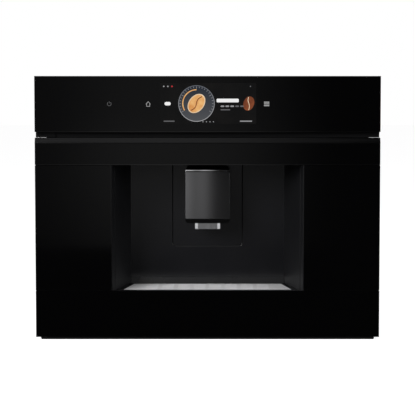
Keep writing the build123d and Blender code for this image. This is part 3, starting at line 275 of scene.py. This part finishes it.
def clear_plastic():
    """Clear moulded plastic of the containers."""
    look = Look("clear_plastic", (0.93, 0.95, 0.96), 0.06, IOR=1.2, Alpha=0.42)
    look.rough(look.noise(20.0, 3.0), 0.03)
    look.shade(look.noise(8.0, 2.0), 0.02)
    return look


def ceramic():
    """Fired ceramic with a fine pitted skin."""
    look = Look("burr_ceramic", (0.86, 0.85, 0.81), 0.35, IOR=1.6)
    look.rounded(0.0003)
    look.shade(look.noise(60.0, 5.0), 0.04)
    look.bump(look.noise(900.0, 3.0), 0.00005, 0.5)
    return look


def turned(name, colour, roughness):
    """Turned metal with fine rings of tool marks."""
    look = Look(name, colour, roughness, 1.0)
    look.rounded(0.0004)
    marks = look.noise(1.0, 3.0, (25.0, 1800.0, 25.0))
    look.rough(marks, 0.06)
    look.shade(marks, 0.05)
    look.bump(marks, 0.00002, 0.4)
    return look


def cast(name, colour, roughness):
    """Sand-cast metal with a pebbled skin."""
    look = Look(name, colour, roughness, 0.9)
    look.rounded(0.0008)
    look.shade(look.noise(30.0, 5.0), 0.10)
    look.bump(look.noise(500.0, 4.0), 0.00015, 0.6)
    return look


def silicone():
    """Milky silicone that lets a little light in."""
    look = Look("silicone", (0.80, 0.80, 0.77), 0.4, IOR=1.41, Subsurface_Weight=0.2)
    look.shader.inputs["Subsurface Radius"].default_value = (0.002, 0.002, 0.0015)
    look.shade(look.noise(30.0, 3.0), 0.05)
    look.bump(look.noise(700.0, 2.0), 0.00002, 0.4)
    return look


def circuit_board():
    """Green solder mask with straight conductor tracks below it."""
    look = Look("circuit_board", (0.015, 0.13, 0.055), 0.32, IOR=1.5)
    bricks = {"Vector": look.place, "Scale": 90.0, "Mortar Size": 0.012}
    tracks = look.node("ShaderNodeTexBrick", bricks).outputs["Fac"]
    look.set("Base Color", look.blend(tracks, look.colour, (0.05, 0.26, 0.12)))
    look.bump(tracks, 0.00005, 0.5)
    return look


LOOKS = {
    "black_glass": black_glass(),
    "black_metal": painted("black_metal", (0.0030, 0.0030, 0.0033), 0.65, 1.15),
    "black_plastic": plastic("black_plastic", (0.010, 0.010, 0.011), 0.48),
    "niche_plastic": plastic("niche_plastic", (0.0052, 0.0053, 0.0064), 0.50, 0.00001, ior=1.35),
    "head_plastic": plastic("head_plastic", (0.0035, 0.0035, 0.0038), 0.34, 0.00001, 900.0, ior=1.35),
    "grey_plastic": plastic("grey_plastic", (0.12, 0.12, 0.125), 0.45),
    "display_body": plastic("display_body", (0.02, 0.02, 0.022), 0.35),
    "clear_plastic": clear_plastic(),
    "stainless": satin("stainless", (0.52, 0.52, 0.535), 0.165).lean("X", -0.009),
    "polished_steel": brushed("polished_steel", (0.62, 0.62, 0.64), 0.14, (60.0, 60.0, 900.0)),
    "screw_steel": turned("screw_steel", (0.60, 0.59, 0.56), 0.30),
    "zinc_steel": sheet_metal("zinc_steel", (0.50, 0.51, 0.52), 0.60),
    "grip_metal": brushed("grip_metal", (0.046, 0.046, 0.047), 0.16, (6.0, 900.0, 900.0)),
    "chrome": brushed("chrome", (0.80, 0.80, 0.82), 0.12, (400.0, 40.0, 40.0)).lean("Z", -0.02),
    "burr_ceramic": ceramic(),
    "brass_fitting": turned("brass_fitting", (0.62, 0.46, 0.20), 0.28),
    "cast_aluminium": cast("cast_aluminium", (0.52, 0.52, 0.53), 0.48),
    "silicone": silicone(),
    "circuit_board": circuit_board(),
    "bush_plastic": plastic("bush_plastic", (0.80, 0.80, 0.78), 0.35),
    "magnet": painted("magnet", (0.07, 0.07, 0.072), 0.5),
}

# The back wall's colour, and the places on the object where a look changes: a painted shade, near
# black, on the floor of the slide panel's groove, and a painted shade on the outlet head below the
# foot of its front plate
BACK_WALL = (0.0072, 0.0073, 0.0086)
GROOVE_FLOOR, PLATE_FOOT = FRONT + 0.1322, 0.2037
GROOVE_FADE, FOOT_FADE = 0.0004, 0.0005
back_wall = plastic("back_wall", BACK_WALL, 0.17, 0.000004, ior=1.7)
slide_panel = plastic("slide_panel", BACK_WALL, 0.17, 0.000004, ior=1.7)
# Painted shade in the groove: its floor is near black and rough
parted(slide_panel, "Y", GROOVE_FLOOR, GROOVE_FLOOR - GROOVE_FADE, (0.0004, 0.0004, 0.0005), 0.9)
# Painted shade under the front plate: below the plate's foot the head plastic is darker and glossier
foot_shade_band = (PLATE_FOOT - FOOT_FADE, PLATE_FOOT + FOOT_FADE)
parted(LOOKS["head_plastic"], "Z", *foot_shade_band, (0.0008, 0.0008, 0.0008), 0.10)
trim_chrome = brushed("trim_chrome", (0.80, 0.80, 0.82), 0.12, (40.0, 40.0, 400.0))
NODE_LOOKS = {
    "niche_back_wall": back_wall,
    "outlet_slide_panel": slide_panel,
    "niche_floor": plastic(
        "niche_floor_plastic", (0.0046, 0.0047, 0.0057), 0.28, 0.00001, ior=1.45
    ),
    "drip_grille": blasted("blasted_steel", (0.83, 0.83, 0.84), 0.60),
    "outlet_trim_strip": trim_chrome.lean("Z", -0.10),
    "door_frame": plastic("frame_plastic", (0.0030, 0.0030, 0.0033), 0.60, ior=1.25),
}
for entry in frame["record"]["subparts"]:
    obj = nodes[entry["node"]]
    look = NODE_LOOKS.get(entry["node"], LOOKS[entry["material_slot"]])
    if not obj.data.materials:
        obj.data.materials.append(None)
    for slot in obj.material_slots:
        slot.material = look.material


# -------------------------------------------------------------------- flat graphics
# Heights between which the dial's own tones change, in millimetres
GRADE_FOOT, GRADE_TOP = 380, 435


def glow(name, colour):
    """A lit patch of the display or of a key."""
    look = Look(name, (0.004, 0.004, 0.004), 0.12, IOR=1.2)
    look.shader.inputs["Emission Color"].default_value = (*colour, 1.0)
    look.shader.inputs["Emission Strength"].default_value = 1.0
    return look


def graded_glow(name, lower, upper):
    """A lit patch that goes from one colour at the dial's foot to another at its top."""
    look = glow(name, lower)
    height = look.node("ShaderNodeSeparateXYZ", {"Vector": look.place}).outputs["Z"]
    share = look.remap(height, 0.0, 1.0, GRADE_FOOT * MM, GRADE_TOP * MM)
    return look.set("Emission Color", look.blend(share, lower, upper))


def mottled_glow(name, dark, light, scale):
    """A lit patch with soft cloudy tones."""
    look = glow(name, dark)
    cloud = look.noise(scale, 4.0)
    return look.set("Emission Color", look.blend(look.remap(cloud, 0.0, 1.0), dark, light))


def flat(name, outlines, depth, look, body="chassis"):
    """Flat faces towards the front at this depth in millimetres. An outline is a list of
    (x, z) points in millimetres, anticlockwise as seen from the front."""
    mesh = bpy.data.meshes.new(name)
    made = bmesh.new()
    for outline in outlines:
        corners = [made.verts.new((x * MM, FRONT + depth * MM, z * MM)) for x, z in outline]
        made.faces.new(corners)
    made.normal_update()
    for face in made.faces:
        if face.normal.y > 0:
            face.normal_flip()
    made.to_mesh(mesh)
    made.free()
    piece = bpy.data.objects.new(name, mesh)
    bpy.context.scene.collection.objects.link(piece)
    mesh.materials.append(look.material)
    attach(piece, body)
    return piece


def arc(x, z, radius, start=0.0, end=360.0, steps=48, squash=1.0, turn=0.0):
    """Points on an ellipse from start to end, in degrees, turned about its centre."""
    points = []
    for count in range(steps):
        angle = math.radians(start + (end - start) * count / (steps - (end - start < 360)))
        u, v = radius * math.cos(angle), radius * squash * math.sin(angle)
        c, s = math.cos(math.radians(turn)), math.sin(math.radians(turn))
        points.append((x + u * c - v * s, z + u * s + v * c))
    return points


def ring(x, z, outer, inner, start=0.0, end=360.0, steps=48):
    """Quads of a ring or of a part of one."""
    quads = []
    for count in range(steps):
        a = math.radians(start + (end - start) * count / steps)
        b = math.radians(start + (end - start) * (count + 1) / steps)
        quads.append(
            [
                (x + outer * math.cos(a), z + outer * math.sin(a)),
                (x + outer * math.cos(b), z + outer * math.sin(b)),
                (x + inner * math.cos(b), z + inner * math.sin(b)),
                (x + inner * math.cos(a), z + inner * math.sin(a)),
            ]
        )
    return quads


def bar(x, z, width, height, corner=None):
    """A rounded bar, from its middle."""
    corner = min(width, height) / 2 if corner is None else corner
    points = []
    for side_x, side_z, start in ((1, 1, 0), (-1, 1, 90), (-1, -1, 180), (1, -1, 270)):
        cx, cz = x + side_x * (width / 2 - corner), z + side_z * (height / 2 - corner)
        points += arc(cx, cz, corner, start, start + 90, 7)
    return points


def stroke(points, width):
    """Quads along a polyline of this width."""
    quads = []
    for (x0, z0), (x1, z1) in zip(points, points[1:]):
        length = math.hypot(x1 - x0, z1 - z0)
        ux, uz = (x1 - x0) / length, (z1 - z0) / length
        nx, nz = -uz * width / 2, ux * width / 2
        ex, ez = ux * width / 2, uz * width / 2
        quads.append(
            [
                (x0 - ex + nx, z0 - ez + nz),
                (x0 - ex - nx, z0 - ez - nz),
                (x1 + ex - nx, z1 + ez - nz),
                (x1 + ex + nx, z1 + ez + nz),
            ]
        )
    return quads


# The display, in millimetres: a dial with a coffee bean on it, level bars and page dots
SCREEN_X, SCREEN_Z, SCREEN_W, SCREEN_H = 1.1, 408.0, 164.4, 69.8
DIAL_X, DIAL_R = -19.0, 30.5
TICKS, TICK_STEP, FIRST_TICK, LONG_TICK_EVERY = 25, 10, -30, 6
BEAN_TURN, FURROW_HALF, FURROW_SWAY = 52.0, 14.6, 2.3
LEVEL_X, LEVEL_Z, LEVEL_STEP = 25.5, 403.3, 8.4
MARK_X, MARK_Z, PAGE_Z, DOT_Z = 66.0, 377.7, 376.7, 437.3
SIDE_BEAN_X, SIDE_FURROW = 70.6, 10.5

# Depths behind the front of the door, from the screen's own to the topmost mark's
SCREEN_DEPTH, DIAL_DEPTH, RIM_DEPTH, BEAN_DEPTH, FURROW_DEPTH = 0.36, 0.29, 0.22, 0.15, 0.08

screen_look = mottled_glow("screen_glow", (0.0012, 0.0013, 0.0015), (0.0040, 0.0036, 0.0034), 38.0)
dial_look = graded_glow("dial_glow", (0.070, 0.073, 0.080), (0.018, 0.023, 0.033))
rim_look = graded_glow("rim_glow", (0.34, 0.34, 0.35), (0.12, 0.13, 0.15))
white_look = glow("white_glow", (0.86, 0.86, 0.86))
soft_look = glow("soft_glow", (0.30, 0.30, 0.31))
faint_look = glow("faint_glow", (0.12, 0.12, 0.125))
amber_look = mottled_glow("amber_glow", (0.62, 0.25, 0.065), (0.84, 0.50, 0.20), 95.0)
cream_look = mottled_glow("cream_glow", (0.72, 0.50, 0.30), (0.90, 0.74, 0.54), 60.0)
umber_look = mottled_glow("umber_glow", (0.10, 0.024, 0.010), (0.27, 0.075, 0.028), 70.0)
red_look = glow("red_glow", (0.42, 0.03, 0.035))


def on_dial(along, across, turn):
    """A point from the dial's centre, on axes turned by this angle in degrees."""
    c, s = math.cos(math.radians(turn)), math.sin(math.radians(turn))
    return (DIAL_X + along * c - across * s, SCREEN_Z + along * s + across * c)


def bean_outline(radius, squash):
    return arc(DIAL_X, SCREEN_Z, radius, squash=squash, turn=BEAN_TURN, steps=64)


def level_bar(number):
    return bar(LEVEL_X + LEVEL_STEP * number, LEVEL_Z, 6.4, 2.6)


def corner_dot(x, radius):
    return arc(x, DOT_Z, radius, steps=20)


screen = bar(SCREEN_X, SCREEN_Z, SCREEN_W, SCREEN_H, 2.0)
flat("display_screen", [screen], SCREEN_DEPTH, screen_look)
flat("display_dial", [arc(DIAL_X, SCREEN_Z, DIAL_R, steps=96)], DIAL_DEPTH, dial_look)
rim = ring(DIAL_X, SCREEN_Z, DIAL_R + 0.7, DIAL_R - 0.5, steps=96)
flat("display_dial_rim", rim, RIM_DEPTH, rim_look)
ticks = []
for count in range(TICKS):
    inner = DIAL_R - (4.6 if count % LONG_TICK_EVERY == 0 else 3.2)
    turn = FIRST_TICK + count * TICK_STEP
    ticks += stroke([on_dial(inner, 0.0, turn), on_dial(DIAL_R - 1.6, 0.0, turn)], 0.7)
flat("display_dial_ticks", ticks, RIM_DEPTH, soft_look)
level_ring = ring(DIAL_X, SCREEN_Z, 24.4, 22.6, 90, 210, 40)
flat("display_dial_level", level_ring, RIM_DEPTH, amber_look)

# The bean, with its furrow and a lighter edge
flat("display_bean_edge", [bean_outline(18.2, 0.72)], RIM_DEPTH, cream_look)
flat("display_bean", [bean_outline(16.6, 0.70)], BEAN_DEPTH, amber_look)
furrow = []
for count in range(25):
    along = -FURROW_HALF + 2 * FURROW_HALF * count / 24
    across = FURROW_SWAY * math.sin(along / FURROW_HALF * math.pi)
    furrow.append(on_dial(along, across, BEAN_TURN))
flat("display_bean_furrow", stroke(furrow, 1.5), FURROW_DEPTH, umber_look)

# Level bars beside the dial, a page indicator below, and small marks in the corners
page_dots = [arc(SCREEN_X - 9 + 6 * n, PAGE_Z, 0.9, steps=16) for n in range(4)]
for name, outlines, look in (
    ("display_title_bar", [bar(34.5, 413.1, 38.0, 6.2, 1.6)], white_look),
    ("display_level_bars", [level_bar(n) for n in range(3)], soft_look),
    ("display_empty_bars", [level_bar(n) for n in (3, 4)], faint_look),
    ("display_note_bar", [bar(30.5, 397.3, 16.4, 1.8)], faint_look),
    ("display_page_dots", page_dots, soft_look),
    ("display_left_mark", [bar(-MARK_X, MARK_Z, 19.0, 1.9)], faint_look),
    ("display_right_mark", [bar(MARK_X, MARK_Z, 21.0, 1.9)], soft_look),
    ("display_left_dots", [corner_dot(-75.0, 1.3), corner_dot(-68.0, 1.3)], soft_look),
    ("display_red_dot", [corner_dot(-61.0, 1.5)], red_look),
    ("display_right_dots", [corner_dot(73.5, 1.1)], faint_look),
    ("display_pill", [bar(-68.5, 407.7, 10.6, 6.0)], white_look),
):
    flat(name, outlines, DIAL_DEPTH, look)
side_bean = arc(SIDE_BEAN_X, SCREEN_Z, 12.4, squash=0.74, turn=70, steps=48)
flat("display_side_bean", [side_bean], DIAL_DEPTH, umber_look)
side_furrow = []
for count in range(19):
    height = SCREEN_Z - SIDE_FURROW + 2 * SIDE_FURROW * count / 18
    side_furrow.append((SIDE_BEAN_X + 1.2 * math.sin(count / 3.0), height))
flat("display_side_bean_furrow", stroke(side_furrow, 1.0), RIM_DEPTH, cream_look)

# Touch keys on both sides of the display: a ring with a stroke, a house and three bars
KEY_Z, POWER_X, HOME_X, MENU_X = 407.3, -168.5, -101.8, 101.3
power_ring = ring(POWER_X, KEY_Z, 3.6, 2.9, 125, 415, 40)
power_stroke = stroke([(POWER_X, KEY_Z + 1.2), (POWER_X, KEY_Z + 4.2)], 0.7)
flat("key_power", power_ring + power_stroke, SCREEN_DEPTH, faint_look)
roof = [(HOME_X - 3.6, KEY_Z - 0.4), (HOME_X, KEY_Z + 3.8), (HOME_X + 3.6, KEY_Z - 0.4)]
walls = [
    (HOME_X - 2.6, KEY_Z + 0.4),
    (HOME_X - 2.6, KEY_Z - 4.2),
    (HOME_X + 2.6, KEY_Z - 4.2),
    (HOME_X + 2.6, KEY_Z + 0.4),
]
house = stroke(roof, 0.9) + stroke(walls, 0.9)
flat("key_home", house, SCREEN_DEPTH, glow("home_glow", (0.34, 0.34, 0.34)))
menu_bars = [bar(MENU_X, KEY_Z + height, 9.2, 1.5, 0.5) for height in (3.0, 0.0, -3.0)]
flat("key_menu", menu_bars, SCREEN_DEPTH, glow("menu_glow", (0.42, 0.42, 0.42)))


# --------------------------------------------------------------------------- stage
# The floor begins between the camera and the object, and reaches far behind and beside.
# In gloss it is faded to a small share in front, and whole again behind the door's front.
FLOOR_FRONT, FLOOR_REACH = -1.7, 9.0
FLOOR_WHITE, FLOOR_TINT = 0.80, (0.50, 0.50, 0.505)
FADE_FRONT, FADE_BACK, FADED = -0.20, 0.05, 0.006


def stage_plane(name, corners, material):
    """A flat piece of the surroundings, kept apart from the object."""
    mesh = bpy.data.meshes.new(name)
    mesh.from_pydata(corners, [], [(0, 1, 2, 3)])
    mesh.materials.append(material)
    piece = bpy.data.objects.new(name, mesh)
    bpy.context.scene.collection.objects.link(piece)
    piece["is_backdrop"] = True
    return piece


def math_node(tree, operation, first, second):
    """A Math node on sockets or numbers."""
    made = tree.nodes.new("ShaderNodeMath")
    made.operation = operation
    for index, value in enumerate((first, second)):
        if isinstance(value, bpy.types.NodeSocket):
            tree.links.new(value, made.inputs[index])
        else:
            made.inputs[index].default_value = value
    return made.outputs[0]


def between(tree, factor, first, second):
    """From the first number or socket to the second as the factor goes from 0 to 1."""
    step = math_node(tree, "SUBTRACT", second, first)
    return math_node(tree, "ADD", math_node(tree, "MULTIPLY", factor, step), first)


def ramp(tree, value, start, end, low, high):
    """From the low number to the high one, smoothly, as the value goes from start to end."""
    made = tree.nodes.new("ShaderNodeMapRange")
    made.interpolation_type = "SMOOTHSTEP"
    tree.links.new(value, made.inputs["Value"])
    for key, number in (("From Min", start), ("From Max", end), ("To Min", low), ("To Max", high)):
        made.inputs[key].default_value = number
    return made.outputs["Result"]


def seen_straight(tree, path):
    """One for the eye's own rays and for those through glass, and nought for others."""
    straight = (path.outputs["Is Camera Ray"], path.outputs["Is Transmission Ray"])
    return math_node(tree, "MAXIMUM", *straight)


def floor_material():
    """Pale floor: its own white is added for the eye, through glass and for gloss, and the
    lamps' share keeps the shadow."""
    material = bpy.data.materials.new("pale_floor")
    material.use_nodes = True
    tree = material.node_tree
    shader = tree.nodes["Principled BSDF"]
    shader.inputs["Roughness"].default_value = 0.9
    shader.inputs["Specular IOR Level"].default_value = 0.0
    shader.inputs["Emission Color"].default_value = (1.0, 1.0, 1.0, 1.0)
    path = tree.nodes.new("ShaderNodeLightPath")
    seen = seen_straight(tree, path)
    place = tree.nodes.new("ShaderNodeSeparateXYZ")
    tree.links.new(tree.nodes.new("ShaderNodeNewGeometry").outputs["Position"], place.inputs[0])
    fade = ramp(tree, place.outputs["Y"], FADE_FRONT, FADE_BACK, FADED, 1.0)
    mirrored = math_node(tree, "MULTIPLY", path.outputs["Is Glossy Ray"], fade)
    dimmed = between(tree, path.outputs["Is Glossy Ray"], 1.0, fade)
    tint = tree.nodes.new("ShaderNodeMix")
    tint.data_type = "RGBA"
    tree.links.new(dimmed, tint.inputs["Factor"])
    for index, colour in zip(COLOUR_SOCKETS, ((0.0, 0.0, 0.0), FLOOR_TINT)):
        tint.inputs[index].default_value = (*colour, 1.0)
    tree.links.new(tint.outputs[COLOUR_RESULT], shader.inputs["Base Color"])
    shown = math_node(tree, "MAXIMUM", seen, mirrored)
    white = math_node(tree, "MULTIPLY", shown, FLOOR_WHITE)
    tree.links.new(white, shader.inputs["Emission Strength"])
    return material


stage_plane(
    "floor",
    [
        (-FLOOR_REACH, FLOOR_FRONT, 0),
        (FLOOR_REACH, FLOOR_FRONT, 0),
        (FLOOR_REACH, FLOOR_REACH, 0),
        (-FLOOR_REACH, FLOOR_REACH, 0),
    ],
    floor_material(),
)

# The world is white to the eye and through glass. Gloss sees that white behind the object
# and beside it, and in front a dim studio with a soft glow on the left. Everything else
# gets a plain ambient level.
AMBIENT, STUDIO, GLOW = 0.35, 0.008, 0.20
world = bpy.data.worlds.new("studio")
bpy.context.scene.world = world
world.use_nodes = True
tree = world.node_tree
shader = tree.nodes["Background"]
shader.inputs["Color"].default_value = (1.0, 1.0, 1.0, 1.0)
path = tree.nodes.new("ShaderNodeLightPath")
heading = tree.nodes.new("ShaderNodeSeparateXYZ")
tree.links.new(tree.nodes.new("ShaderNodeTexCoord").outputs["Generated"], heading.inputs[0])
head_x, head_y, head_z = (heading.outputs[axis] for axis in "XYZ")
dim = ramp(tree, head_y, -0.55, -0.10, 0.02, 0.25)
overhead = between(tree, ramp(tree, head_z, 0.25, 0.70, 0.0, 1.0), 1.0, dim)
sides = math_node(tree, "MULTIPLY", ramp(tree, head_y, -0.78, -0.58, STUDIO, 1.0), overhead)
glow_right = ramp(tree, head_x, 0.075, -0.010, 0.0, 1.0)
glow_left = ramp(tree, head_x, -0.100, -0.035, 0.25, 1.0)
glow_middle = math_node(tree, "MULTIPLY", glow_right, glow_left)
glow_side = ramp(tree, head_x, -0.092, -0.125, 0.0, 1.3)
glow_side = math_node(tree, "MULTIPLY", glow_side, ramp(tree, head_x, -0.45, -0.20, 0.0, 1.0))
soft_glow = math_node(tree, "MAXIMUM", glow_middle, glow_side)
for value, start, end, low, high in (
    (head_z, -0.155, -0.055, 0.08, 1.0),
    (head_z, -0.052, -0.030, 1.0, 0.78),
    (head_z, 0.02, 0.12, 1.0, 2.8),
    (head_y, -0.45, -0.20, 1.0, 0.05),
):
    soft_glow = math_node(tree, "MULTIPLY", soft_glow, ramp(tree, value, start, end, low, high))
soft_glow = math_node(tree, "MULTIPLY", soft_glow, GLOW)
backdrop = math_node(tree, "MAXIMUM", sides, soft_glow)
level = between(tree, path.outputs["Is Glossy Ray"], AMBIENT, backdrop)
seen = seen_straight(tree, path)
tree.links.new(between(tree, seen, level, 1.0), shader.inputs["Strength"])


LAMP_TARGET = (0.0, 0.0, 0.2)


def softbox(name, place, size, power):
    """A square lamp of this side in metres and power in watts, turned to the object."""
    data = bpy.data.lights.new(name, "AREA")
    data.shape = "SQUARE"
    data.size = size
    data.energy = power
    lamp = bpy.data.objects.new(name, data)
    lamp.location = place
    towards = Vector(LAMP_TARGET) - Vector(place)
    lamp.rotation_mode = "QUATERNION"
    lamp.rotation_quaternion = towards.to_track_quat("-Z", "Y")
    bpy.context.scene.collection.objects.link(lamp)


softbox("key_softbox", (-1.9, -3.0, 1.5), 1.6, 105)
softbox("fill_softbox", (2.6, -2.4, 1.3), 1.4, 35)
softbox("top_softbox", (0.0, 0.3, 3.0), 1.8, 14)

# -------------------------------------------------------------------------- camera
# The photograph's viewing angle, read as one from 3.2 metres in front of the door and just
# above the machine's top: the niche floor shows, and the top cover stays behind the panel.
DISTANCE = 3.2
EYE_HEIGHT = 0.500
AIM_HEIGHT = 0.2291
MIDDLE_X = -0.0001
PIXELS, PIXEL_MM = 415, 1.7222
SENSOR = 36.0
camera_data = bpy.data.cameras.new("camera")
camera_data.type = "PERSP"
camera_data.sensor_width = SENSOR
camera = bpy.data.objects.new("camera", camera_data)
bpy.context.scene.collection.objects.link(camera)
aim = Vector((MIDDLE_X, FRONT, AIM_HEIGHT))
camera.location = (MIDDLE_X, FRONT - DISTANCE, EYE_HEIGHT)
sight = aim - camera.location
camera_data.lens = SENSOR * sight.length / (PIXELS * PIXEL_MM * MM)
camera_data.clip_start, camera_data.clip_end = 0.1, 40.0
camera.rotation_mode = "QUATERNION"
camera.rotation_quaternion = sight.to_track_quat("-Z", "Y")
bpy.context.scene.camera = camera
bpy.context.scene.view_settings.view_transform = "Standard"

low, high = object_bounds()
